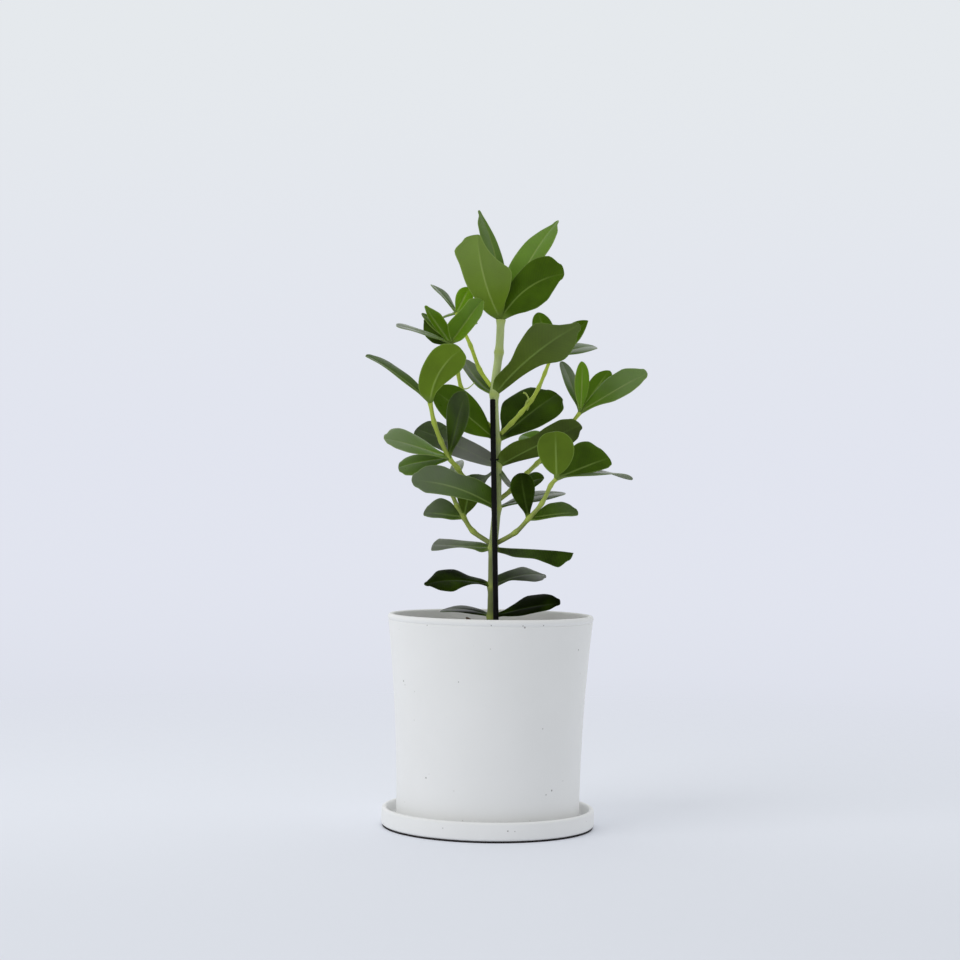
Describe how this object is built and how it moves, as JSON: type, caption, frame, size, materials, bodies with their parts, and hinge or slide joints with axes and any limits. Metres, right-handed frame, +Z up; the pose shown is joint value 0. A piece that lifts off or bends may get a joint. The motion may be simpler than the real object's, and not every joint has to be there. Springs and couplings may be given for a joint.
{
  "type": "potted plant",
  "caption": "Potted clusia: an upright leafy plant tied to a stake, in a flared white ceramic pot that stands on a matching saucer.",
  "frame": {"origin": "the centre of the saucer's flat underside", "axes": "+Z up along the pot's axis, -Y towards the front of the plant, +X to the right"},
  "size_m": [0.2067, 0.1548, 0.4523],
  "materials": {
    "white_ceramic": "matt white glazed ceramic with a few fine specks",
    "potting_soil": "moist potting soil with bark chips",
    "black_stake": "satin black",
    "leaf_green": "leathery green leaf with a soft sheen"
  },
  "bodies": {
    "root": {"saucer": "white_ceramic", "pot": "white_ceramic", "soil": "potting_soil", "stake": "black_stake", "tie": "black_stake", "main_stem": "leaf_green", "shoot_low_left": "leaf_green", "shoot_low_right": "leaf_green", "shoot_front_left": "leaf_green", "shoot_back_right": "leaf_green", "shoot_high_right": "leaf_green", "shoot_high_back": "leaf_green", "shoot_mid_left": "leaf_green"}
  },
  "joints": []
}
